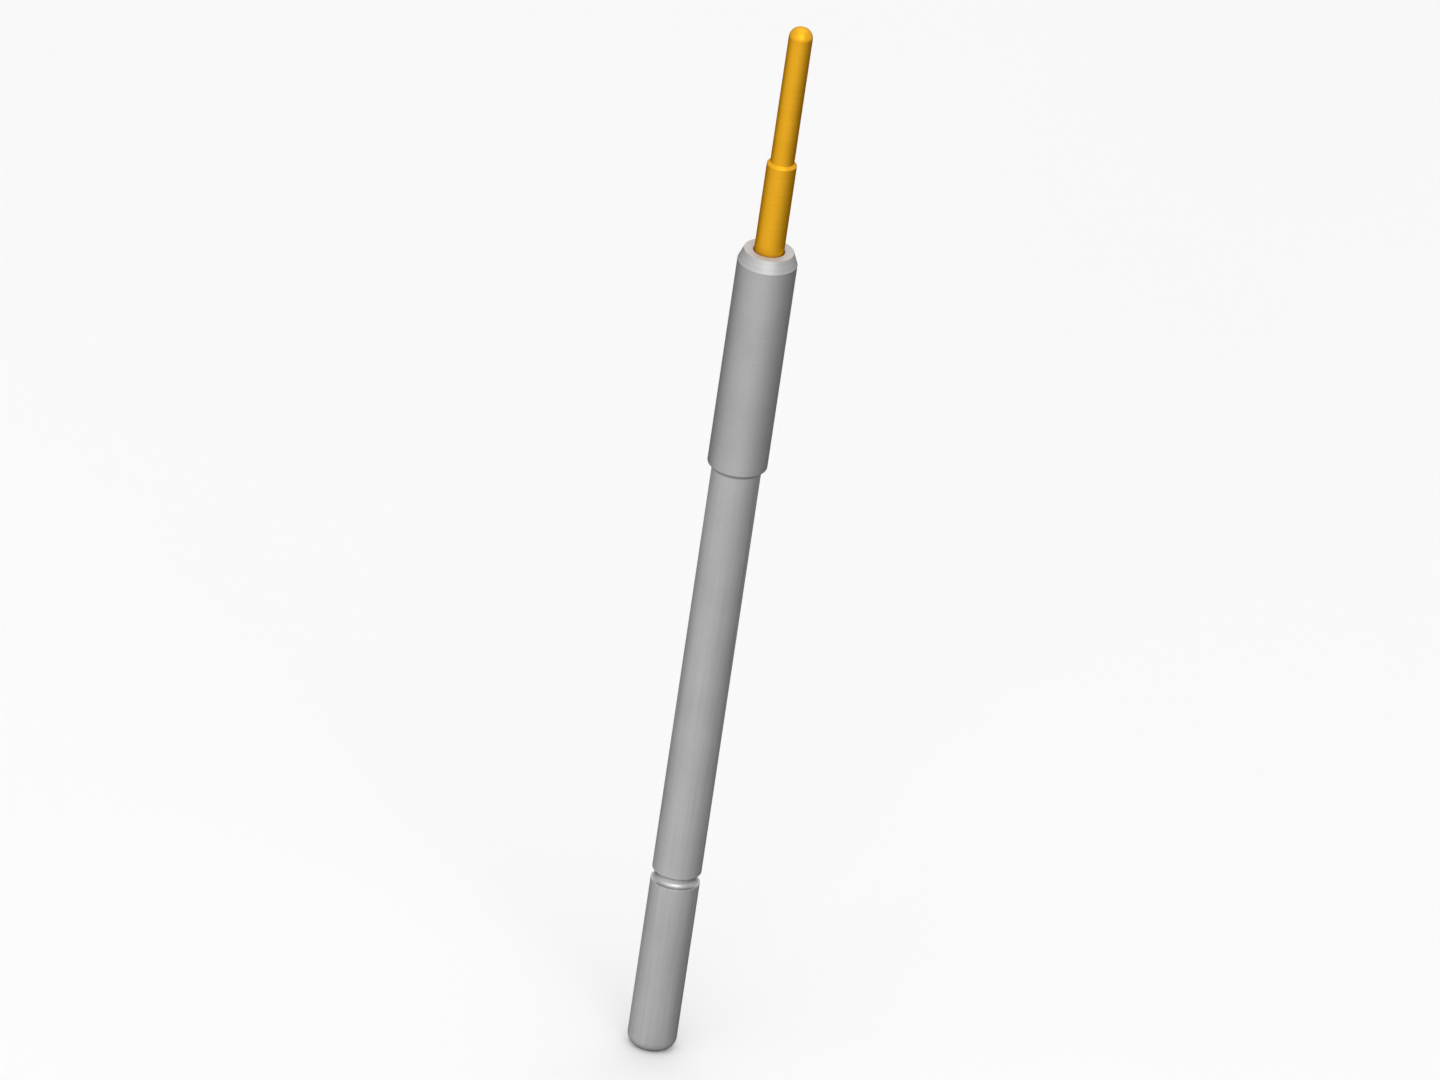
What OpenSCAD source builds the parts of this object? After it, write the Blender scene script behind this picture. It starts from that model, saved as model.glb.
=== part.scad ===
// Spring-loaded contact test probe with a round-nosed plunger.
// Z runs along the axis towards the tip. The origin is on the axis, at the underside of the collar,
// where the probe seats on its receptacle. The plunger is fully out. Lengths are in millimetres.

/* [Plunger] */
// Diameter of the round-nosed tip
tip_d = 0.8; // [0.5:0.05:0.9]
// Length of the tip, from the shoulder to its end
tip_l = 4.95; // [2:0.05:8]
// Radius that rounds the end of the tip
tip_round = 0.36; // [0.1:0.02:0.4]
// Axial length of the bevelled shoulder between the shaft and the tip
shoulder_l = 0.1; // [0.05:0.05:0.5]
// Diameter of the shaft that slides through the collar
shaft_d = 1; // [0.9:0.05:1.1]
// Length of shaft that stands out of the collar at rest
shaft_reach = 3.2; // [1:0.1:6]
// Length of the head that runs in the barrel and keeps the plunger in
head_l = 3; // [1.5:0.25:5]
// Bevel on both ends of the head and on the end of the spigot
head_bevel = 0.06; // [0.02:0.01:0.08]
// Length of the spigot under the head that centres the spring
spigot_l = 1.2; // [0.5:0.1:2]

/* [Collar] */
// Length of the collar
collar_l = 8; // [4:0.5:12]
// Radial height of the collar's step above the barrel
collar_step = 0.175; // [0.1:0.025:0.5]
// Thickness of the front wall that guides the shaft
guide_l = 1; // [0.6:0.1:2]
// Radial depth of the bevel at the front
nose_bevel_r = 0.165; // [0.05:0.005:0.3]
// Axial length of the bevel at the front
nose_bevel_l = 0.42; // [0.1:0.02:0.8]

/* [Barrel] */
// Outer diameter of the barrel
barrel_d = 1.65; // [1.5:0.05:2]
// Wall thickness of the drawn tube
barrel_wall = 0.15; // [0.1:0.01:0.18]
// Length of plain barrel between the collar and the rolled groove
grip_l = 15.25; // [8:0.25:22]
// Width of the rolled groove, which is a half circle in section
groove_w = 0.4; // [0.25:0.05:0.5]
// Length of barrel behind the groove
tail_l = 6.25; // [2:0.25:10]
// Radius that rounds the closed rear end
tail_round = 0.4; // [0.25:0.05:0.6]
// Radial depth by which the barrel's neck is drawn in to take the collar
neck_step = 0.05; // [0.02:0.01:0.08]
// Axial length of the taper from the barrel to its neck
neck_taper_l = 0.6; // [0.2:0.1:1.5]

/* [Spring] */
// Diameter of the spring wire
wire_d = 0.2; // [0.16:0.01:0.24]
// Clear space between two coils at rest
coil_space = 0.22; // [0.2:0.02:0.6]

/* [Clearances] */
// Radial play of the shaft in the collar
guide_gap = 0.02; // [0.01:0.005:0.05]
// Radial play of the head in the barrel
head_gap = 0.02; // [0.01:0.005:0.04]
// Radial room between the collar and the neck that it is pressed on
press_gap = 0.005; // [0.002:0.001:0.01]
// Radial room between the spring and the barrel
spring_gap = 0.075; // [0.04:0.005:0.1]
// Radial room between the spigot and the spring
spigot_gap = 0.05; // [0.03:0.01:0.1]
// Room between the spring and each of its seats
seat_gap = 0.01; // [0.005:0.005:0.02]

/* [Hidden] */
$fn = 96;

// Radii of the turned and drawn pieces
tip_r = tip_d / 2;
shaft_r = shaft_d / 2;
barrel_r = barrel_d / 2;
bore_r = barrel_r - barrel_wall;
head_r = bore_r - head_gap;
guide_r = shaft_r + guide_gap;
neck_r = barrel_r - neck_step;
sleeve_r = neck_r + press_gap;
lead_in_r = barrel_r + press_gap;
collar_r = barrel_r + collar_step;

// Heights along the axis
mouth_z = collar_l - guide_l;
shoulder_z = collar_l + shaft_reach;
tip_z = shoulder_z + shoulder_l + tip_l;
head_z = mouth_z - head_l;
spigot_z = head_z - spigot_l;
groove_z = -grip_l - groove_w / 2;
tail_z = -grip_l - groove_w - tail_l;

// The bead is the inside of the rolled groove, one wall thickness further in
groove_r = groove_w / 2;
bead_r = groove_r + barrel_wall;

// The first coil rests on the flank of the bead: in section, two circles that nearly touch
wire_r = wire_d / 2;
coil_r = bore_r - spring_gap - wire_r;
spigot_r = coil_r - wire_r - spigot_gap;
coil_rest = sqrt(pow(bead_r + wire_r + seat_gap, 2) - pow(barrel_r - coil_r, 2));
coil_start_z = groove_z + coil_rest;
coil_end_z = head_z - seat_gap - wire_r;

// The turn at each end closes up flat against its neighbour, and the others share the height left
closed_rise = wire_d + seat_gap;
open_height = coil_end_z - coil_start_z - 2 * closed_rise;
open_turns = round(open_height / (wire_d + coil_space));
coil_pitch = open_height / open_turns;
coil_turns = open_turns + 2;
steps_per_turn = 14;
wire_sides = 6;
cut = 0.1;

// Half section of a round end that lies on the line y = 0, with its rim curved in by round
module rounded_end(radius, round) {
    if (radius > round)
        square([radius - round, round]);
    intersection() {
        translate([radius - round, round])
            circle(round);
        translate([radius - round, 0])
            square(round);
    }
}

// Half section of a solid rod with one rounded end at y = 0
module rounded_rod(radius, round, length) {
    rounded_end(radius, round);
    translate([0, round])
        square([radius, length - round]);
}

// Half section of the plunger up to the foot of the tip
module plunger_stem_section() {
    polygon([
        [0, spigot_z],
        [spigot_r - head_bevel, spigot_z],
        [spigot_r, spigot_z + head_bevel],
        [spigot_r, head_z],
        [head_r - head_bevel, head_z],
        [head_r, head_z + head_bevel],
        [head_r, mouth_z - head_bevel],
        [head_r - head_bevel, mouth_z],
        [shaft_r, mouth_z],
        [shaft_r, shoulder_z],
        [tip_r, shoulder_z + shoulder_l],
        [0, shoulder_z + shoulder_l]
    ]);
}

// Turned contact pin: round-nosed tip, shaft, retaining head and spring spigot in one piece
module plunger() {
    color("goldenrod")
        rotate_extrude() {
            plunger_stem_section();
            translate([0, tip_z])
                mirror([0, 1])
                    rounded_rod(tip_r, min(tip_round, tip_r), tip_l);
        }
}

// Turned sleeve pressed over the neck of the barrel, whose front wall guides and keeps the plunger
module collar() {
    color("darkgray")
        rotate_extrude()
            polygon([
                [lead_in_r, 0],
                [collar_r, 0],
                [collar_r, collar_l - nose_bevel_l],
                [collar_r - nose_bevel_r, collar_l],
                [guide_r, collar_l],
                [guide_r, mouth_z],
                [sleeve_r, mouth_z],
                [sleeve_r, neck_taper_l]
            ]);
}

// Half section of the closed tube with its tapered neck, before the groove is rolled
module tube_section() {
    difference() {
        union() {
            translate([0, tail_z])
                rounded_rod(barrel_r, tail_round, -tail_z);
            polygon([
                [0, 0],
                [barrel_r, 0],
                [neck_r, neck_taper_l],
                [neck_r, mouth_z],
                [0, mouth_z]
            ]);
        }
        translate([0, tail_z + barrel_wall])
            rounded_rod(bore_r, tail_round - barrel_wall, mouth_z - tail_z - barrel_wall + cut);
    }
}

// Half section of the bead that the groove pushes into the bore
module bead_section() {
    intersection() {
        translate([barrel_r, groove_z])
            circle(bead_r);
        translate([barrel_r - bead_r, groove_z - bead_r])
            square([bead_r - barrel_wall / 2, 2 * bead_r]);
    }
}

// Drawn tube with a closed, rounded rear end and a rolled groove that seats the spring
module barrel() {
    color("darkgray")
        rotate_extrude()
            difference() {
                union() {
                    tube_section();
                    bead_section();
                }
                translate([barrel_r, groove_z])
                    circle(groove_r);
            }
}

// Height of the wire's centre above its start after a number of turns
function coil_rise(turn) =
    turn < 1 ? closed_rise * pow(turn, 2)
    : turn > coil_turns - 1 ? coil_end_z - coil_start_z - closed_rise * pow(coil_turns - turn, 2)
    : closed_rise + coil_pitch * (turn - 1);

// Point on the wire's skin, after a number of turns and at an angle round the wire
function wire_point(turn, side_angle) =
    let (reach = coil_r + wire_r * cos(side_angle))
    [
        reach * cos(360 * turn),
        reach * sin(360 * turn),
        coil_start_z + coil_rise(turn) + wire_r * sin(side_angle)
    ];

// Compression spring with closed ends, swept along its helix
module spring() {
    last_ring = coil_turns * steps_per_turn;
    side_angle = 360 / wire_sides;
    skin = [
        for (ring = [0 : last_ring], side = [0 : wire_sides - 1])
            wire_point(ring / steps_per_turn, 90 + side * side_angle)
    ];
    walls = [
        for (ring = [0 : last_ring - 1], side = [0 : wire_sides - 1])
            let (next = (side + 1) % wire_sides, here = ring * wire_sides, there = here + wire_sides)
            each [[here + side, here + next, there + side], [here + next, there + next, there + side]]
    ];
    start_cap = [for (side = [wire_sides - 1 : -1 : 0]) side];
    end_cap = [for (side = [0 : wire_sides - 1]) last_ring * wire_sides + side];
    color("lightgray")
        polyhedron(skin, concat([start_cap], walls, [end_cap]), convexity = 10);
}

plunger();
collar();
barrel();
spring();
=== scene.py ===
"""Spring-loaded test probe: turned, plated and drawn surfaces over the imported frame, on a stage."""

import math
from collections import namedtuple

import bpy
import numpy as np
from bpy.props import FloatProperty, FloatVectorProperty, IntProperty, PointerProperty
from bpy.types import Operator, Panel, PropertyGroup
from mathutils import Matrix, Vector


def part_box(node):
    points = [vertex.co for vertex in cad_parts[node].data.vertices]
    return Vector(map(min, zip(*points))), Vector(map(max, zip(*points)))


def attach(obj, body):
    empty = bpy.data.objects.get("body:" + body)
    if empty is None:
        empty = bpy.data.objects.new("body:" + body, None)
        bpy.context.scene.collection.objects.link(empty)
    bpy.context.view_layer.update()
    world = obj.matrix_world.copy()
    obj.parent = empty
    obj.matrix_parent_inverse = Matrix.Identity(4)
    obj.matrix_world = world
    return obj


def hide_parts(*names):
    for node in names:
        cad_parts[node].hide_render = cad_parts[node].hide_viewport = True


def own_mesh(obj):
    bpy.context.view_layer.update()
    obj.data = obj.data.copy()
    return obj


bl_info = {
    "name": "Spring Probe",
    "version": (1, 0, 0),
    "blender": (4, 5, 0),
    "location": "View3D > Sidebar > Probe",
    "description": "Builds the pieces of a spring-loaded test probe and the stage around it",
    "category": "Object",
}

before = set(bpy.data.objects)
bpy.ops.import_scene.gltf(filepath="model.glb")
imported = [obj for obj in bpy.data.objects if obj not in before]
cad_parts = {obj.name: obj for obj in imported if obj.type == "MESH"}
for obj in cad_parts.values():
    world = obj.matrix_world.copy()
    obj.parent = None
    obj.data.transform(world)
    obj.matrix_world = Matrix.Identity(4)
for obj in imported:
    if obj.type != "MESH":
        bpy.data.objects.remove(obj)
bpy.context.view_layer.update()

# Millimetres and micrometres in the frame's metres
MM = 1e-3
MICRON = 1e-6

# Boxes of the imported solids, which the pieces stand for
PLUNGER_LOW, PLUNGER_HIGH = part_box("plunger")
COLLAR_LOW, COLLAR_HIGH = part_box("collar")
BARREL_LOW, BARREL_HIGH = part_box("barrel")
SPRING_LOW, SPRING_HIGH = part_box("spring")

# Longest face of a turned surface along its outline, and the gap below which two points are one
LONGEST_FACE = 0.2 * MM
SAME_POINT = 0.01 * MICRON

# Faces along each arc of an outline: broken edges, the bore's end, rounded ends, and the groove
EDGE_STEPS = 6
BORE_STEPS = 12
END_STEPS = 24
GROOVE_STEPS = 32

# Noise of the metals: tool marks and soft patches to a millimetre, and the grain of each
MARKS_PER_MM = 12.0
MARKS_GRAIN = 0.65
PATCHES_PER_MM = 0.55
PATCHES_GRAIN = 0.55
NOISE_DETAIL = 4.0

# Length of a drawn streak against its width
STREAK_STRETCH = 60.0

# Share of the marks in the colour's noise, and that noise's levels of the deep and the light colour
MARKS_SHARE = 0.6
TINT_LEVELS = (0.36, 0.64)

# Levels of the marks that are smoothest and roughest, and how far these part from the mean roughness
GLOSS_LEVELS = (0.3, 0.7)
GLOSS_SWING = 0.05

# Relief of the marks, and how far they stretch a reflection across themselves
MARKS_DEPTH = 4 * MICRON
MARKS_STRENGTH = 0.25
MARKS_SPREAD = 0.35

# Turn of that stretch from round the axis to along it, as a share of a full turn
QUARTER_TURN = 0.25

# Height over which a finish or a painted shade changes at a turned edge
EDGE_BLEND = 6 * MICRON

# Stretch of a piece with a finish or a painted shade of its own: its value within near of the height z,
# ending at far from z
Stretch = namedtuple("Stretch", "z near far value")

# Mottle of the floor, and the card's height above it
FLOOR_PATCHES_PER_MM = 0.05
CARD_LIFT = 10 * MICRON

# Share of the floor's colour on the graded card, which paints shade into the metal's reflections, by
# azimuth in degrees from the front, to the right
CARD_LEVELS = (
    (-90, 0.64), (-75, 0.74), (-45, 0.79), (-15, 0.81), (15, 0.68), (45, 0.56), (75, 0.36), (105, 0.23),
    (135, 0.25), (180, 0.48), (225, 0.40), (255, 0.48), (270, 0.64),
)

# Softboxes: name, azimuth and elevation in degrees, width and height in millimetres, radiance
SOFTBOXES = (
    ("front_softbox", 7, 30, 350, 160, 2.15),
    ("front_high_softbox", 0, 58, 400, 215, 0.9),
    ("left_softbox", -50, 30, 320, 320, 0.4),
    ("back_softbox", 180, 28, 290, 215, 0.5),
    ("back_high_softbox", 180, 60, 400, 215, 0.95),
    ("top_softbox", 0, 90, 240, 240, 0.5),
)

# Point that the softboxes face, and their distance from it
LAMP_AIM = Vector((0, 0, -3 * MM))
LAMP_DISTANCE = 400 * MM

# Nearest and furthest that the camera sees, as shares of its distance
CLIP_NEAR = 0.1
CLIP_FAR = 3.0


def length(name, description, default):
    """A length in metres that a user can change."""
    return FloatProperty(
        name=name, description=description, default=default, min=0, unit="LENGTH", precision=5,
    )


def height(name, description, default):
    """A height, or a place across, in metres from the middle of the collar's underside."""
    return FloatProperty(name=name, description=description, default=default, unit="LENGTH", precision=5)


def share(name, description, default):
    """A share from 0 to 1."""
    return FloatProperty(
        name=name, description=description, default=default, min=0, max=1, subtype="FACTOR",
    )


def colour(name, description, default):
    """A linear colour."""
    return FloatVectorProperty(
        name=name, description=description, default=default, min=0, max=1, subtype="COLOR",
    )


def count(name, description, default):
    """A whole number of faces, turns or the like."""
    return IntProperty(name=name, description=description, default=default, min=3)


class ProbePlungerSettings(PropertyGroup):
    """Sizes and finish of the turned contact pin."""

    tip_z: height("Tip end", "Height of the end of the tip", PLUNGER_HIGH.z)
    spigot_z: height("Spigot end", "Height of the end of the spring spigot", PLUNGER_LOW.z)
    head_r: length("Head radius", "Radius of the head that runs in the barrel", PLUNGER_HIGH.x)
    tip_r: length("Tip radius", "Radius of the thin tip", 0.4 * MM)
    tip_round: length("Tip rounding", "Radius that rounds the end of the tip", 0.36 * MM)
    tip_l: length("Tip length", "Length of the tip above the shoulder", 4.95 * MM)
    shoulder_l: length("Shoulder length", "Axial length of the bevelled shoulder", 0.1 * MM)
    shaft_r: length("Shaft radius", "Radius of the shaft that slides in the collar", 0.5 * MM)
    head_l: length("Head length", "Length of the head in the barrel", 3.0 * MM)
    head_bevel: length("Head bevel", "Bevel on the ends of the head and the spigot", 0.06 * MM)
    spigot_l: length("Spigot length", "Length of the spigot under the head", 1.2 * MM)
    spigot_r: length("Spigot radius", "Radius of the spring spigot", 0.35 * MM)
    edge_break: length("Edge break", "Radius that breaks the turned edges", 0.012 * MM)
    sectors: count("Sectors", "Number of faces round the axis", 128)
    gold: colour("Gold", "Colour of the gold plating", (0.99, 0.51, 0.027))
    gold_deep: colour("Deep gold", "Colour where the plating is thicker", (0.90, 0.44, 0.018))
    edge_tint: colour("Edge tint", "Tint of the reflection at a grazing angle", (0.2, 0.08, 0.0))
    roughness: share("Roughness", "Mean roughness of the plating", 0.40)
    shoulder_gloss: share("Shoulder gloss", "Share of the light that the matt shoulder mirrors", 0.55)
    nose_gloss: share("Nose gloss", "Share of the light that the end of the tip mirrors", 0.6)
    nose_blend: length("Nose blend", "Height over which the gloss of the tip's end changes", 0.1 * MM)


class ProbeCollarSettings(PropertyGroup):
    """Sizes, finish and painted side shade of the turned sleeve at the front of the barrel."""

    front_z: height("Front", "Height of the flat front land", COLLAR_HIGH.z)
    foot_z: height("Foot", "Height of the underside", COLLAR_LOW.z)
    collar_r: length("Radius", "Outer radius of the collar", COLLAR_HIGH.x)
    nose_bevel_r: length("Bevel depth", "Radial depth of the front bevel", 0.165 * MM)
    nose_bevel_l: length("Bevel length", "Axial length of the front bevel", 0.42 * MM)
    guide_r: length("Guide radius", "Radius of the hole that guides the shaft", 0.52 * MM)
    guide_l: length("Guide length", "Thickness of the front wall", COLLAR_HIGH.z - BARREL_HIGH.z)
    sleeve_r: length("Bore radius", "Radius of the bore on the barrel's neck", 0.78 * MM)
    lead_in_r: length("Lead-in radius", "Radius of the bore at the underside", 0.83 * MM)
    lead_in_l: length("Lead-in length", "Axial length of the tapered lead-in", 0.6 * MM)
    rim_round: length("Rim rounding", "Radius on the rim of the guide hole", 0.035 * MM)
    foot_round: length("Foot rounding", "Radius on the outer edge of the underside", 0.06 * MM)
    edge_break: length("Edge break", "Radius that breaks the turned edges", 0.012 * MM)
    sectors: count("Sectors", "Number of faces round the axis", 160)
    land_gloss: share("Land gloss", "Share of the light that the matt front land mirrors", 0.3)
    bevel_gloss: share("Bevel gloss", "Share of the light that the front bevel mirrors", 0.82)
    # Painted shade: the collar's side is coloured darker than its bevel and land, to this share of the
    # colour
    side_painted_shade: share("Side shade", "Share of the colour left on the collar's duller side", 0.9)


class ProbeBarrelSettings(PropertyGroup):
    """Sizes of the drawn tube, finish of its nickel silver, and the shadow painted under the collar."""

    tail_z: height("Rear end", "Height of the closed rear end", BARREL_LOW.z)
    mouth_z: height("Mouth", "Height of the open front end", BARREL_HIGH.z)
    barrel_r: length("Radius", "Outer radius of the barrel", BARREL_HIGH.x)
    wall: length("Wall", "Wall thickness of the tube", 0.15 * MM)
    tail_round: length("Tail rounding", "Radius that rounds the closed end", 0.4 * MM)
    groove_r: length("Groove radius", "Radius of the half-round rolled groove", 0.2 * MM)
    groove_z: height("Groove height", "Height of the middle of the groove", -15.45 * MM)
    lip_round: length("Lip rounding", "Radius on the lips of the rolled groove", 0.02 * MM)
    neck_step: length("Neck step", "Radial depth of the neck under the collar", 0.05 * MM)
    neck_taper_l: length("Neck taper", "Axial length of the neck's taper", 0.6 * MM)
    edge_break: length("Edge break", "Radius that breaks the edges of the mouth", 0.012 * MM)
    sectors: count("Sectors", "Number of faces round the axis", 144)
    silver: colour("Silver", "Colour of the nickel silver", (0.63, 0.63, 0.63))
    silver_deep: colour("Deep silver", "Colour of its faintly duller patches", (0.53, 0.53, 0.53))
    edge_tint: colour("Edge tint", "Tint of the reflection at a grazing angle", (0.0, 0.0, 0.0))
    roughness: share("Roughness", "Mean roughness of the nickel silver", 0.52)
    groove_polish: share("Groove polish", "Roughness that rolling takes off the groove", 0.12)
    # Painted shadow: the barrel's colour is darkened in the corner under the collar, over this length and
    # to this share
    collar_shadow_l: length("Tarnish length", "Length of barrel under the collar that is darkened", 0.18 * MM)
    collar_shadow_share: share("Painted collar shadow", "Share of the colour left in the corner under the collar", 0.4)


class ProbeSpringSettings(PropertyGroup):
    """Sizes and finish of the hidden compression spring."""

    seat_z: height("Seat", "Height of the spring's lower end", SPRING_LOW.z)
    top_z: height("Top", "Height of the spring's upper end", SPRING_HIGH.z)
    wire_r: length("Wire radius", "Radius of the spring wire", 0.1 * MM)
    coil_r: length("Coil radius", "Radius of the coil at the middle of the wire", 0.5 * MM)
    closed_rise: length("Closed rise", "Rise of the closed turn at each end", 0.21 * MM)
    turns: count("Turns", "Number of turns, closed ones included", 46)
    steps_per_turn: count("Steps", "Number of faces along one turn of the wire", 36)
    sides: count("Sides", "Number of faces round the wire", 14)
    steel: colour("Steel", "Colour of the spring steel", (0.5, 0.5, 0.52))
    steel_deep: colour("Deep steel", "Colour of its faintly duller patches", (0.45, 0.45, 0.468))
    roughness: share("Roughness", "Mean roughness of the wire", 0.25)


class ProbeStageSettings(PropertyGroup):
    """View, floor and light of the studio."""

    elevation: FloatProperty(
        name="Elevation", description="Camera's angle above the horizon",
        default=math.radians(27.4), subtype="ANGLE",
    )
    roll: FloatProperty(
        name="Roll", description="Lean of the probe's axis to the right in the picture",
        default=math.radians(8.484), subtype="ANGLE",
    )
    lens: FloatProperty(
        name="Lens", description="Focal length, long because the view has next to no perspective",
        default=1000.0, subtype="DISTANCE_CAMERA",
    )
    view_width: length("View width", "Width of the picture at the probe", 47.52 * MM)
    aim_x: height("Aim across", "Point on the right of the axis at the picture's centre", -0.1915 * MM)
    aim_z: height("Aim height", "Height at the picture's centre", -2.892 * MM)
    floor_r: length("Floor radius", "Radius of the floor", 400 * MM)
    floor: colour("Floor", "Colour of the floor", (0.92, 0.92, 0.92))
    floor_shade: share("Floor mottle", "Share of the colour left in the floor's darkest patches", 0.985)
    world: colour("Room", "Colour of the room's dim light", (1.0, 1.0, 1.0))
    world_strength: FloatProperty(
        name="Room light", description="Strength of the room's light", default=0.64, min=0,
    )


def arc(centre_r, centre_z, radius, start, sweep, steps, outward=1):
    """Rows (r, z, normal r, normal z) along an arc in the half section.

    Each point is the centre plus the radius times (cos, sin) of evenly spaced angles. The normal is that
    same direction on a convex arc (outward 1) and its opposite on a concave one (outward -1).
    """
    angle = start + sweep * np.linspace(0, 1, steps + 1)
    way = np.column_stack([np.cos(angle), np.sin(angle)])
    return np.hstack([[centre_r, centre_z] + radius * way, outward * way])


def line(start, end):
    """Rows (r, z, normal r, normal z) of a straight stretch, its normal to the right of its direction."""
    start, end = np.array(start, float), np.array(end, float)
    along = (end - start) / np.linalg.norm(end - start)
    normal = [along[1], -along[0]]
    return np.array([[*start, *normal], [*end, *normal]])


def corner(before, at, after, radius):
    """Rows of the arc that rounds one corner of a half section.

    The arc touches both sides at radius / tan(half the corner's angle) from the corner, and its centre
    lies on the bisector at radius / sin(half the angle). A left turn is convex, a right turn concave.
    """
    before, at, after = (np.array(point, float) for point in (before, at, after))
    back = (before - at) / np.linalg.norm(before - at)
    ahead = (after - at) / np.linalg.norm(after - at)
    half = math.acos(np.clip(back @ ahead, -1, 1)) / 2
    bisector = (back + ahead) / np.linalg.norm(back + ahead)
    centre = at + bisector * radius / math.sin(half)
    first = at + back * radius / math.tan(half) - centre
    last = at + ahead * radius / math.tan(half) - centre
    start = math.atan2(first[1], first[0])
    sweep = math.atan2(first[0] * last[1] - first[1] * last[0], first @ last)
    return arc(*centre, radius, start, sweep, EDGE_STEPS, outward=1 if sweep > 0 else -1)


def rounded_outline(points, radius, closed=False):
    """Half section through the points (r, z) with every corner rounded; open ends stay as they are.

    A point may have a third value, the radius of its own corner.
    """
    radii = [point[2] if len(point) > 2 else radius for point in points]
    points = [point[:2] for point in points]
    if closed:
        ring = [points[-1], *points, points[0]]
        return np.vstack([corner(*ring[i:i + 3], radii[i]) for i in range(len(points))])
    middle = [corner(*points[i - 1:i + 2], radii[i]) for i in range(1, len(points) - 1)]
    return np.vstack([line(points[0], points[1])[:1], *middle, line(points[-2], points[-1])[1:]])


def refined(outline, closed=False):
    """The outline with each stretch longer than LONGEST_FACE cut into equal parts between its ends."""
    if closed:
        outline = np.vstack([outline, outline[:1]])
    gaps = np.hypot(*np.diff(outline[:, :2], axis=0).T)
    parts = np.maximum(1, np.ceil(gaps / LONGEST_FACE)).astype(int)
    begin = np.repeat(np.arange(len(gaps)), parts)
    step = np.arange(parts.sum()) - np.repeat(np.cumsum(parts) - parts, parts)
    along = (step / np.repeat(parts, parts))[:, None]
    finer = outline[begin] + along * (outline[begin + 1] - outline[begin])
    return finer if closed else np.vstack([finer, outline[-1:]])


def without_doubles(outline):
    """The outline without points that repeat the one before."""
    gaps = np.hypot(*np.diff(outline[:, :2], axis=0).T)
    return outline[np.r_[True, gaps > SAME_POINT]]


def lathe(outline, sectors, closed=False):
    """Surface of revolution about Z: points, normals and faces.

    Point (i, j) is (r_i cos t_j, r_i sin t_j, z_i) with t_j = j / sectors of a full turn. A closed
    outline gives a ring of quads both ways round. An open one starts and ends on the axis, and its two
    ends are single points joined to the first and last rings by fans of triangles.
    """
    turn = 2 * math.pi * np.arange(sectors) / sectors
    rows = outline if closed else outline[1:-1]
    spin = np.stack([np.cos(turn), np.sin(turn)], axis=1)

    def revolved(radial, axial):
        """Each row's radial part spun round the axis, beside its axial part."""
        flat = radial[:, None, None] * spin[None]
        tall = np.repeat(axial[:, None, None], sectors, axis=1)
        return np.concatenate([flat, tall], axis=2).reshape(-1, 3)

    points = revolved(rows[:, 0], rows[:, 1])
    normals = revolved(rows[:, 2], rows[:, 3])
    index = np.arange(len(points)).reshape(len(rows), sectors)
    lower = index if closed else index[:-1]
    upper = np.roll(index, -1, axis=0) if closed else index[1:]
    quads = np.stack([lower, np.roll(lower, -1, 1), np.roll(upper, -1, 1), upper], axis=2)
    faces = quads.reshape(-1, 4).tolist()
    if not closed:
        first, last = len(points), len(points) + 1
        points = np.vstack([points, [[0, 0, outline[0, 1]], [0, 0, outline[-1, 1]]]])
        normals = np.vstack([normals, [[0, 0, outline[0, 3]], [0, 0, outline[-1, 3]]]])
        start, end = index[0], index[-1]
        faces += np.column_stack([np.full(sectors, first), np.roll(start, -1), start]).tolist()
        faces += np.column_stack([np.full(sectors, last), end, np.roll(end, -1)]).tolist()
    return points, normals, faces


def new_piece(name, points, faces, material, normals=None):
    """A smooth mesh object at the origin, with the exact normals of its surface where they are given."""
    mesh = bpy.data.meshes.new(name)
    mesh.from_pydata(points.tolist(), [], faces)
    mesh.validate()
    mesh.shade_smooth()
    if normals is not None:
        unit = normals / np.linalg.norm(normals, axis=1, keepdims=True)
        mesh.normals_split_custom_set_from_vertices(unit.tolist())
    mesh.materials.append(material)
    piece = bpy.data.objects.new(name, mesh)
    bpy.context.scene.collection.objects.link(piece)
    return piece


def plunger_outline(pin):
    """Half section of the plunger, from the spigot's end up to the tip, with broken edges."""
    foot_z = pin.tip_z - pin.tip_l
    shoulder_z = foot_z - pin.shoulder_l
    head_z = pin.spigot_z + pin.spigot_l
    mouth_z = head_z + pin.head_l
    bevel = pin.head_bevel
    nose_r = pin.tip_r - pin.tip_round
    nose_z = pin.tip_z - pin.tip_round
    stem = rounded_outline([
        (0, pin.spigot_z),
        (pin.spigot_r - bevel, pin.spigot_z),
        (pin.spigot_r, pin.spigot_z + bevel),
        (pin.spigot_r, head_z),
        (pin.head_r - bevel, head_z),
        (pin.head_r, head_z + bevel),
        (pin.head_r, mouth_z - bevel),
        (pin.head_r - bevel, mouth_z),
        (pin.shaft_r, mouth_z),
        (pin.shaft_r, shoulder_z),
        (pin.tip_r, foot_z),
        (pin.tip_r, nose_z),
    ], pin.edge_break)
    nose = arc(nose_r, nose_z, pin.tip_round, 0, math.pi / 2, END_STEPS)
    crown = line((nose_r, pin.tip_z), (0, pin.tip_z))
    return without_doubles(np.vstack([stem, nose, crown]))


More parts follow.
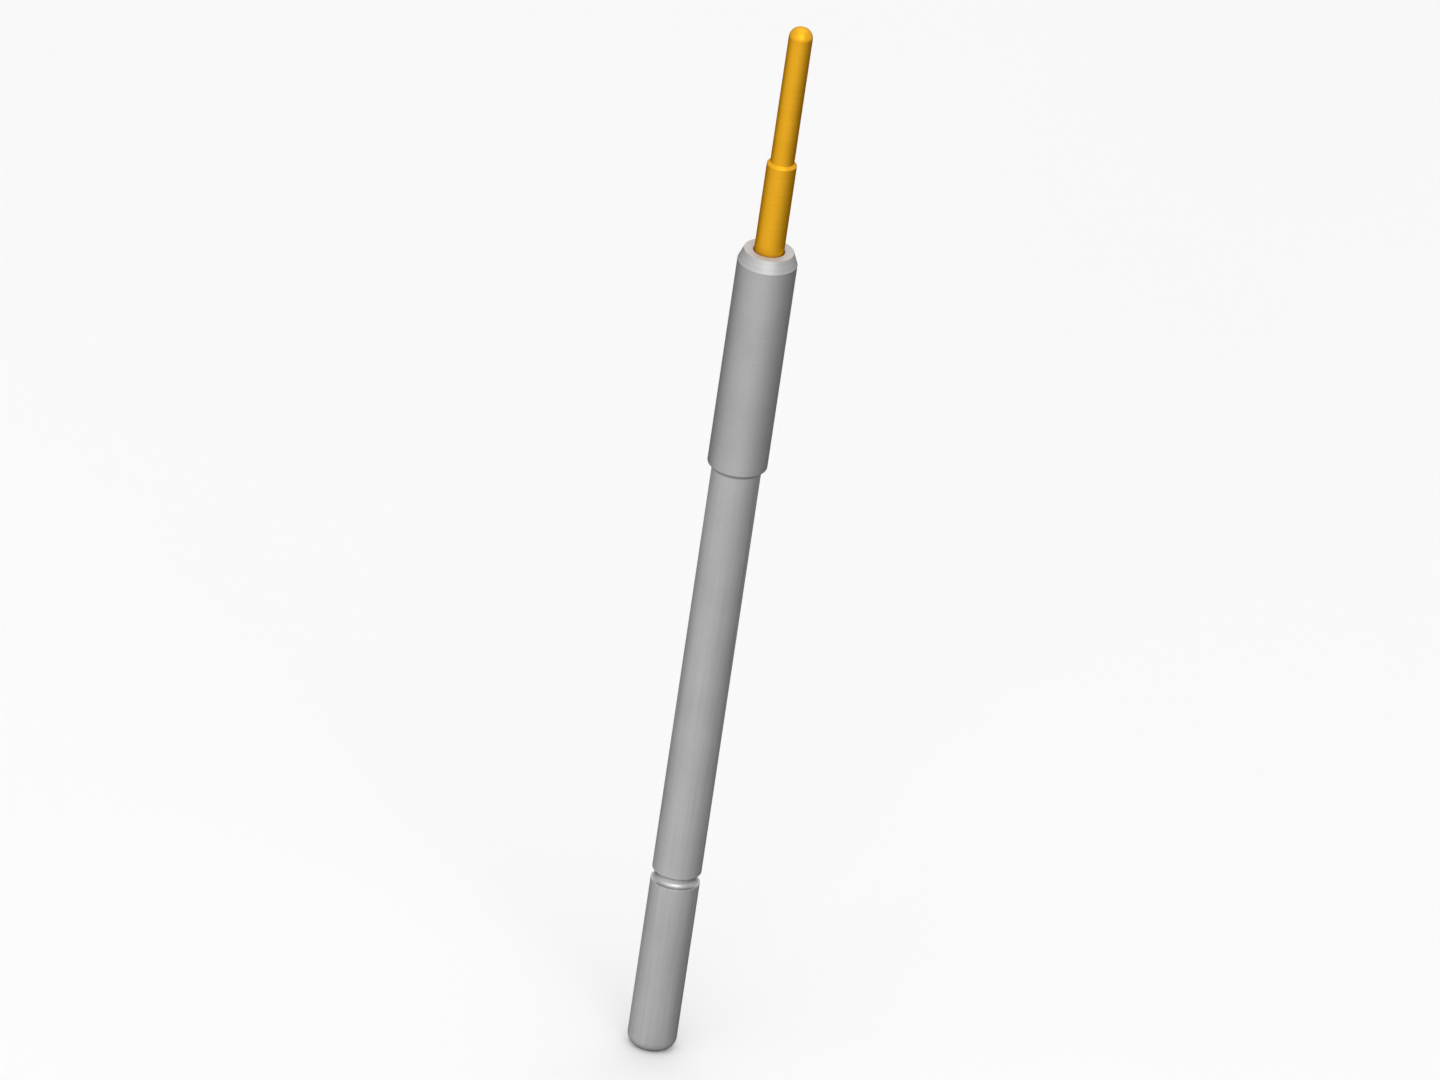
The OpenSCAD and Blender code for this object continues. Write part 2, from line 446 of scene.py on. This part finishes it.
def collar_outline(collar):
    """Half section of the collar as a loop: underside, side, bevel, front land, guide hole and bore."""
    mouth_z = collar.front_z - collar.guide_l
    return rounded_outline([
        (collar.lead_in_r, collar.foot_z),
        (collar.collar_r, collar.foot_z, collar.foot_round),
        (collar.collar_r, collar.front_z - collar.nose_bevel_l),
        (collar.collar_r - collar.nose_bevel_r, collar.front_z),
        (collar.guide_r, collar.front_z, collar.rim_round),
        (collar.guide_r, mouth_z),
        (collar.sleeve_r, mouth_z),
        (collar.sleeve_r, collar.foot_z + collar.lead_in_l),
    ], collar.edge_break, closed=True)


def groove_outline(tube):
    """Half section of the rolled groove, upwards: lower lip, half circle and upper lip.

    The groove is an arc about a point on the barrel's wall. Each lip is an arc of radius lip that touches
    the wall and the groove, so its centre is lip inside the wall and sqrt(groove^2 + 2 groove lip) up or
    down.
    """
    lip, groove = tube.lip_round, tube.groove_r
    rise = math.sqrt(groove ** 2 + 2 * groove * lip)
    lean = math.atan2(rise, lip)
    lip_r = tube.barrel_r - lip
    lower = arc(lip_r, tube.groove_z - rise, lip, 0, lean, EDGE_STEPS)
    hollow = arc(
        tube.barrel_r, tube.groove_z, groove, math.pi + lean, -2 * lean, GROOVE_STEPS, outward=-1,
    )
    upper = arc(lip_r, tube.groove_z + rise, lip, -lean, lean, EDGE_STEPS)
    return np.vstack([lower, hollow, upper])


def barrel_outline(tube):
    """Half section of the closed tube: outside of its end, groove, neck, mouth, bore, inside of its end.

    The first and the last point of the neck's outline only give directions, so they are dropped.
    """
    bore_r = tube.barrel_r - tube.wall
    neck_r = tube.barrel_r - tube.neck_step
    bead_r = tube.groove_r + tube.wall
    end_r = tube.barrel_r - tube.tail_round
    end_z = tube.tail_z + tube.tail_round
    floor_z = tube.tail_z + tube.wall
    square = math.pi / 2
    bead = math.acos(tube.wall / bead_r)
    return without_doubles(np.vstack([
        line((0, tube.tail_z), (end_r, tube.tail_z)),
        arc(end_r, end_z, tube.tail_round, -square, square, END_STEPS),
        groove_outline(tube),
        rounded_outline([
            (tube.barrel_r, tube.groove_z + 2 * tube.groove_r),
            (tube.barrel_r, 0),
            (neck_r, tube.neck_taper_l),
            (neck_r, tube.mouth_z),
            (bore_r, tube.mouth_z),
            (bore_r, tube.groove_z + 2 * bead_r),
        ], tube.edge_break)[1:-1],
        arc(tube.barrel_r, tube.groove_z, bead_r, math.pi - bead, 2 * bead, GROOVE_STEPS),
        arc(end_r, end_z, tube.tail_round - tube.wall, 0, -square, BORE_STEPS, outward=-1),
        line((end_r, floor_z), (0, floor_z)),
    ]))


def spring_surface(coil):
    """Wire of radius w swept along a helix of radius c, with a closed turn at each end: points and faces.

    The height of the wire's centre follows the turn t: closed_rise t^2 in the first turn, its mirror
    image in the last, and a straight line between. Round the wire, a point is the centre plus
    w (cos a outwards + sin a along the second normal), where the second normal is the helix's tangent
    crossed with the outward direction.
    """
    low, high = coil.seat_z + coil.wire_r, coil.top_z - coil.wire_r
    rise = coil.closed_rise
    turn = np.linspace(0, coil.turns, coil.turns * coil.steps_per_turn + 1)
    left = coil.turns - turn
    pitch = (high - low - 2 * rise) / (coil.turns - 2)
    middle = low + rise + pitch * (turn - 1)
    upper = np.where(left < 1, high - rise * left ** 2, middle)
    z = np.where(turn < 1, low + rise * turn ** 2, upper)
    angle = 2 * math.pi * turn
    out = np.column_stack([np.cos(angle), np.sin(angle), np.zeros_like(angle)])
    centre = coil.coil_r * out + np.column_stack([np.zeros((len(z), 2)), z])
    tangent = np.gradient(centre, axis=0)
    tangent /= np.linalg.norm(tangent, axis=1, keepdims=True)
    second = np.cross(tangent, out)
    second /= np.linalg.norm(second, axis=1, keepdims=True)
    round_wire = (2 * math.pi * np.arange(coil.sides) / coil.sides)[None, :, None]
    ring = np.cos(round_wire) * out[:, None] + np.sin(round_wire) * second[:, None]
    points = (centre[:, None] + coil.wire_r * ring).reshape(-1, 3)
    index = np.arange(len(points)).reshape(len(z), coil.sides)
    here, there = index[:-1], index[1:]
    quads = np.stack([here, there, np.roll(there, -1, 1), np.roll(here, -1, 1)], axis=2).reshape(-1, 4)
    first, last = len(points), len(points) + 1
    points = np.vstack([points, centre[:1], centre[-1:]])
    caps = [
        np.column_stack([np.full(coil.sides, first), index[0], np.roll(index[0], -1)]),
        np.column_stack([np.full(coil.sides, last), np.roll(index[-1], -1), index[-1]]),
    ]
    return points, quads.tolist() + np.vstack(caps).tolist()


def new_material(name):
    """A material and its node tree, which is empty."""
    material = bpy.data.materials.new(name)
    material.use_nodes = True
    material.node_tree.nodes.clear()
    return material, material.node_tree


def node(tree, kind, inputs=None, **settings):
    """A shader node with its settings, and its inputs set to values or linked from sockets."""
    made = tree.nodes.new(kind)
    for key, value in settings.items():
        setattr(made, key, value)
    for key, value in (inputs or {}).items():
        if isinstance(value, bpy.types.NodeSocket):
            tree.links.new(value, made.inputs[key])
        else:
            made.inputs[key].default_value = value
    return made


def place_on_piece(tree):
    """Place on the piece in metres."""
    return node(tree, "ShaderNodeTexCoord").outputs["Object"]


def height_on_piece(tree):
    """Height on the piece in metres."""
    return node(tree, "ShaderNodeSeparateXYZ", {"Vector": place_on_piece(tree)}).outputs["Z"]


def ring_coordinate(tree):
    """Coordinate that is the same all round the axis: (distance from the axis, 0, height)."""
    place = place_on_piece(tree)
    flat = node(tree, "ShaderNodeVectorMath", {0: place, 1: (1, 1, 0)}, operation="MULTIPLY")
    off_axis = node(tree, "ShaderNodeVectorMath", {0: flat.outputs["Vector"]}, operation="LENGTH")
    parts = {"X": off_axis.outputs["Value"], "Z": height_on_piece(tree)}
    return node(tree, "ShaderNodeCombineXYZ", parts).outputs["Vector"]


def streak_coordinate(tree):
    """Coordinate drawn out along the axis: (x, y, height / STREAK_STRETCH)."""
    factors = {0: place_on_piece(tree), 1: (1, 1, 1 / STREAK_STRETCH)}
    return node(tree, "ShaderNodeVectorMath", factors, operation="MULTIPLY").outputs["Vector"]


def metal_noise(tree, coordinate, per_mm, grain):
    """Noise from 0 to 1 with a number of waves to a millimetre."""
    waves = {"Vector": coordinate, "Scale": per_mm / MM, "Detail": NOISE_DETAIL, "Roughness": grain}
    return node(tree, "ShaderNodeTexNoise", waves).outputs["Fac"]


def carried(tree, value, levels, results):
    """The two results at the two levels of a value, evenly blended between and held beyond them."""
    ends = {"From Min": levels[0], "From Max": levels[1], "To Min": results[0], "To Max": results[1]}
    return node(tree, "ShaderNodeMapRange", {"Value": value, **ends}).outputs["Result"]


def by_height(tree, stretch, elsewhere):
    """The stretch's value within near of its height z, blending evenly into elsewhere at far from z."""
    above = node(tree, "ShaderNodeMath", {0: height_on_piece(tree), 1: stretch.z}, operation="SUBTRACT")
    away = node(tree, "ShaderNodeMath", {0: above.outputs["Value"]}, operation="ABSOLUTE")
    ends = (stretch.near, stretch.far)
    return carried(tree, away.outputs["Value"], ends, (stretch.value, elsewhere))


def tinted(tree, value, deep, light, levels=(0.0, 1.0)):
    """Colour that runs from deep to light between two levels of a value."""
    tint = node(tree, "ShaderNodeValToRGB", {"Fac": value})
    low, high = tint.color_ramp.elements
    low.position, high.position = levels
    low.color, high.color = (*deep, 1), (*light, 1)
    return tint.outputs["Color"]


def finished(tree, surface):
    """Ends a tree in a principled shader with the given inputs."""
    shader = node(tree, "ShaderNodeBsdfPrincipled", surface)
    node(tree, "ShaderNodeOutputMaterial", {"Surface": shader.outputs["BSDF"]})


def satin_metal(name, light, deep, edge, roughness, turned=True, matt=(), rolled=None, dull=None):
    """Satin metal with fine tool marks and soft patches in its colour.

    The marks are rings round the axis where the piece is turned, and streaks along it where it is drawn.
    Light spreads across the marks, so a reflection is stretched along the axis or round it. A Stretch
    gives part of the piece its own finish or painted shade: each of matt has the share of light that it
    mirrors, rolled the change of its roughness, and the painted shade Stretch the share of its colour
    that is left, which darkens that part.
    """
    material, tree = new_material(name)
    along = ring_coordinate(tree) if turned else streak_coordinate(tree)
    marks = metal_noise(tree, along, MARKS_PER_MM, MARKS_GRAIN)
    patches = metal_noise(tree, place_on_piece(tree), PATCHES_PER_MM, PATCHES_GRAIN)
    blend = node(tree, "ShaderNodeMix", {"Factor": MARKS_SHARE, "A": patches, "B": marks})
    skin = tinted(tree, blend.outputs["Result"], deep, light, TINT_LEVELS)
    # Painted shade: the colour is scaled down within its Stretch
    if dull:
        left = by_height(tree, dull, 1.0)
        darker = node(tree, "ShaderNodeVectorMath", {0: skin, "Scale": left}, operation="SCALE")
        skin = darker.outputs["Vector"]
    rough = carried(tree, marks, GLOSS_LEVELS, (roughness - GLOSS_SWING, roughness + GLOSS_SWING))
    if rolled:
        change = by_height(tree, rolled, 0.0)
        rough = node(tree, "ShaderNodeMath", {0: rough, 1: change}, operation="ADD").outputs["Value"]
    mirrored = 1.0
    for stretch in matt:
        mirrored = by_height(tree, stretch, mirrored)
    relief = node(
        tree, "ShaderNodeBump",
        {"Height": marks, "Strength": MARKS_STRENGTH, "Distance": MARKS_DEPTH},
    )
    finished(tree, {
        "Base Color": skin,
        "Metallic": mirrored,
        "Roughness": rough,
        "Normal": relief.outputs["Normal"],
        "Specular Tint": (*edge, 1),
        "Anisotropic": MARKS_SPREAD,
        "Anisotropic Rotation": QUARTER_TURN if turned else 0.0,
        "Tangent": node(tree, "ShaderNodeTangent", direction_type="RADIAL", axis="Z").outputs["Tangent"],
    })
    return material


def nickel_silver(name, **finish):
    """The barrel's and the collar's metal, each with its own marks."""
    tube = bpy.context.scene.probe_barrel
    return satin_metal(name, tube.silver, tube.silver_deep, tube.edge_tint, tube.roughness, **finish)


def matt_surface(skin):
    """Inputs of a matt surface of one colour."""
    return {"Base Color": skin, "Roughness": 1.0, "Specular IOR Level": 0.0}


def shaded(tone, level):
    """A share of a linear colour."""
    return [level * part for part in tone]


def floor_material(studio):
    """Matt pale floor with a faint mottle."""
    material, tree = new_material("studio_floor")
    waves = {"Vector": place_on_piece(tree), "Scale": FLOOR_PATCHES_PER_MM / MM}
    mottle = node(tree, "ShaderNodeTexNoise", waves).outputs["Fac"]
    skin = tinted(tree, mottle, shaded(studio.floor, studio.floor_shade), studio.floor)
    finished(tree, matt_surface(skin))
    return material


def card_material(studio):
    """Matt card, palest in front of the probe and darkest behind its right side, as CARD_LEVELS says:
    painted shade for the metal's reflections.
    """
    material, tree = new_material("reflection_shade_card")
    place = place_on_piece(tree)
    round_axis = node(tree, "ShaderNodeTexGradient", {"Vector": place}, gradient_type="RADIAL")
    shade = node(tree, "ShaderNodeValToRGB", {"Fac": round_axis.outputs["Fac"]})
    stops = shade.color_ramp.elements
    first = CARD_LEVELS[0][0]
    for azimuth, _ in CARD_LEVELS[1:-1]:
        stops.new((azimuth - first) / 360)
    for stop, (_, level) in zip(stops, CARD_LEVELS, strict=True):
        stop.color = (*shaded(studio.floor, level), 1)
    finished(tree, matt_surface(shade.outputs["Color"]))
    return material


class PROBE_OT_plunger(Operator):
    """Turns the gold-plated plunger: round-nosed tip, shoulder, shaft, head and spigot"""

    bl_idname = "probe.plunger"
    bl_label = "Plunger"

    def execute(self, context):
        pin = context.scene.probe_plunger
        points, normals, faces = lathe(refined(plunger_outline(pin)), pin.sectors)
        half = pin.shoulder_l / 2
        shoulder_z = pin.tip_z - pin.tip_l - half
        shoulder = Stretch(shoulder_z, half, half + EDGE_BLEND, pin.shoulder_gloss)
        nose = Stretch(pin.tip_z, pin.tip_round - pin.nose_blend, pin.tip_round, pin.nose_gloss)
        gold = satin_metal(
            "turned_gold", pin.gold, pin.gold_deep, pin.edge_tint, pin.roughness, matt=(shoulder, nose),
        )
        piece = new_piece("gold_plunger", points, faces, gold, normals)
        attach(piece, "plunger")
        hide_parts("plunger")
        return {"FINISHED"}


class PROBE_OT_collar(Operator):
    """Turns the collar that guides the plunger and stops the probe in its receptacle"""

    bl_idname = "probe.collar"
    bl_label = "Collar"

    def execute(self, context):
        collar = context.scene.probe_collar
        outline = refined(collar_outline(collar), closed=True)
        points, normals, faces = lathe(outline, collar.sectors, closed=True)
        bevel_l = collar.nose_bevel_l
        bevel = Stretch(collar.front_z, bevel_l - EDGE_BLEND, bevel_l, collar.bevel_gloss)
        land = Stretch(collar.front_z, MICRON, EDGE_BLEND, collar.land_gloss)
        half = (collar.front_z - bevel_l - collar.foot_z) / 2
        # Painted shade on the collar's side, between the underside and the bevel
        side = Stretch(collar.foot_z + half, half - EDGE_BLEND, half, collar.side_painted_shade)
        silver = nickel_silver("turned_nickel_silver", matt=(bevel, land), dull=side)
        piece = new_piece("guide_collar", points, faces, silver, normals)
        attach(piece, "barrel")
        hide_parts("collar")
        return {"FINISHED"}


class PROBE_OT_barrel(Operator):
    """Draws the barrel with its neck, rolled groove and rounded rear end"""

    bl_idname = "probe.barrel"
    bl_label = "Barrel"

    def execute(self, context):
        tube = context.scene.probe_barrel
        points, normals, faces = lathe(refined(barrel_outline(tube)), tube.sectors)
        inside, outside = tube.groove_r - tube.lip_round, tube.groove_r + tube.lip_round
        groove = Stretch(tube.groove_z, inside, outside, -tube.groove_polish)
        # Painted shadow under the collar: the barrel's colour darkens near the collar's underside and
        # fades out further down
        collar_shadow = Stretch(COLLAR_LOW.z, tube.collar_shadow_l / 2, tube.collar_shadow_l, tube.collar_shadow_share)
        silver = nickel_silver("drawn_nickel_silver", turned=False, rolled=groove, dull=collar_shadow)
        piece = new_piece("drawn_barrel", points, faces, silver, normals)
        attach(piece, "barrel")
        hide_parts("barrel")
        return {"FINISHED"}


class PROBE_OT_spring(Operator):
    """Winds the compression spring between the groove's bead and the plunger's head"""

    bl_idname = "probe.spring"
    bl_label = "Spring"

    def execute(self, context):
        coil = context.scene.probe_spring
        points, faces = spring_surface(coil)
        steel = satin_metal(
            "drawn_steel", coil.steel, coil.steel_deep, coil.steel, coil.roughness, turned=False,
        )
        piece = new_piece("coil_spring", points, faces, steel)
        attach(piece, "barrel")
        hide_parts("spring")
        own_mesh(piece)
        return {"FINISHED"}


def disc(radius, z, rings=24, sectors=96):
    """Flat disc: point (i, j) is radius i / rings times (cos, sin) of j / sectors of a full turn."""
    reach = np.linspace(0, radius, rings + 1)[1:, None]
    turn = 2 * math.pi * np.arange(sectors) / sectors
    level = np.full((rings, sectors), z)
    points = np.stack([reach * np.cos(turn), reach * np.sin(turn), level], axis=2).reshape(-1, 3)
    index = np.arange(rings * sectors).reshape(rings, sectors)
    inner, outer = index[:-1], index[1:]
    quads = np.stack([inner, outer, np.roll(outer, -1, 1), np.roll(inner, -1, 1)], axis=2).reshape(-1, 4)
    middle = np.column_stack([np.full(sectors, rings * sectors), index[0], np.roll(index[0], -1)])
    return np.vstack([points, [[0, 0, z]]]), quads.tolist() + middle.tolist()


def softbox(name, azimuth, elevation, width, tall, radiance):
    """An even rectangular lamp that faces LAMP_AIM from a direction, azimuth 0 being the front.

    Its power is pi times its area times its radiance.
    """
    azimuth, elevation = math.radians(azimuth), math.radians(elevation)
    level = Vector((math.sin(azimuth), -math.cos(azimuth), 0))
    away = math.cos(elevation) * level + math.sin(elevation) * Vector((0, 0, 1))
    lamp = bpy.data.lights.new(name, "AREA")
    lamp.shape = "RECTANGLE"
    lamp.size = width
    lamp.size_y = tall
    lamp.energy = math.pi * width * tall * radiance
    holder = bpy.data.objects.new(name, lamp)
    holder.location = LAMP_AIM + LAMP_DISTANCE * away
    holder.rotation_euler = (-away).to_track_quat("-Z", "Y").to_euler()
    bpy.context.scene.collection.objects.link(holder)


class PROBE_OT_stage(Operator):
    """Sets up the camera, the pale floor and the soft light"""

    bl_idname = "probe.stage"
    bl_label = "Stage"

    def execute(self, context):
        studio = context.scene.probe_stage
        self.add_camera(studio)
        self.add_floor(studio)
        self.add_card(studio)
        self.add_light(studio)
        context.scene.view_settings.view_transform = "Standard"
        return {"FINISHED"}

    def add_camera(self, studio):
        """Aims a long lens from the front and above, rolled so that the probe leans to the right."""
        lens = bpy.data.cameras.new("camera")
        lens.lens = studio.lens
        distance = studio.view_width * studio.lens / lens.sensor_width
        lens.clip_start = CLIP_NEAR * distance
        lens.clip_end = CLIP_FAR * distance
        back = Vector((0, -math.cos(studio.elevation), math.sin(studio.elevation)))
        level = Vector((1, 0, 0))
        upright = back.cross(level)
        right = math.cos(studio.roll) * level + math.sin(studio.roll) * upright
        up = math.cos(studio.roll) * upright - math.sin(studio.roll) * level
        place = Vector((studio.aim_x, 0, studio.aim_z)) + distance * back
        camera = bpy.data.objects.new("camera", lens)
        camera.matrix_world = Matrix.Translation(place) @ Matrix((right, up, back)).transposed().to_4x4()
        bpy.context.scene.collection.objects.link(camera)
        bpy.context.scene.camera = camera

    def add_floor(self, studio):
        """Lays a round floor at the height of the probe's rear end."""
        points, faces = disc(studio.floor_r, BARREL_LOW.z)
        new_piece("floor", points, faces, floor_material(studio))

    def add_card(self, studio):
        """Lays a graded card on the floor around the probe, which only the metal's reflections show, as
        painted shade on its sides and back.
        """
        points, faces = disc(studio.floor_r, BARREL_LOW.z + CARD_LIFT)
        card = new_piece("reflection_shade_card", points, faces, card_material(studio))
        card.visible_camera = False
        card.visible_diffuse = False
        card.visible_shadow = False

    def add_light(self, studio):
        """Lights the probe with the softboxes, brightest from the front, in a dim even room."""
        for name, azimuth, elevation, width, tall, radiance in SOFTBOXES:
            softbox(name, azimuth, elevation, width * MM, tall * MM, radiance)
        world = bpy.data.worlds.new("studio_room")
        world.use_nodes = True
        backdrop = world.node_tree.nodes["Background"]
        backdrop.inputs["Color"].default_value = (*studio.world, 1)
        backdrop.inputs["Strength"].default_value = studio.world_strength
        bpy.context.scene.world = world


class PROBE_PT_panel(Panel):
    """Lists the steps that build the probe, with their sizes and colours"""

    bl_idname = "PROBE_PT_panel"
    bl_label = "Spring Probe"
    bl_space_type = "VIEW_3D"
    bl_region_type = "UI"
    bl_category = "Probe"

    def draw(self, context):
        for step in STEPS:
            self.layout.operator(step.bl_idname)
            settings = getattr(context.scene, step.bl_idname.replace(".", "_"))
            column = self.layout.column(align=True)
            for key in settings.__annotations__:
                column.prop(settings, key)


SETTINGS = {
    "probe_plunger": ProbePlungerSettings,
    "probe_collar": ProbeCollarSettings,
    "probe_barrel": ProbeBarrelSettings,
    "probe_spring": ProbeSpringSettings,
    "probe_stage": ProbeStageSettings,
}
STEPS = (PROBE_OT_plunger, PROBE_OT_collar, PROBE_OT_barrel, PROBE_OT_spring, PROBE_OT_stage)
CLASSES = (*SETTINGS.values(), *STEPS, PROBE_PT_panel)


def register():
    """Registers the classes and gives the scene its settings."""
    for cls in CLASSES:
        bpy.utils.register_class(cls)
    for key, group in SETTINGS.items():
        setattr(bpy.types.Scene, key, PointerProperty(type=group))


def unregister():
    """Takes back what register added, in the opposite order."""
    for key in SETTINGS:
        delattr(bpy.types.Scene, key)
    for cls in reversed(CLASSES):
        bpy.utils.unregister_class(cls)


def main():
    """Builds the pieces and the stage."""
    register()
    bpy.ops.probe.plunger()
    bpy.ops.probe.collar()
    bpy.ops.probe.barrel()
    bpy.ops.probe.spring()
    bpy.ops.probe.stage()


if __name__ == "__main__":
    main()
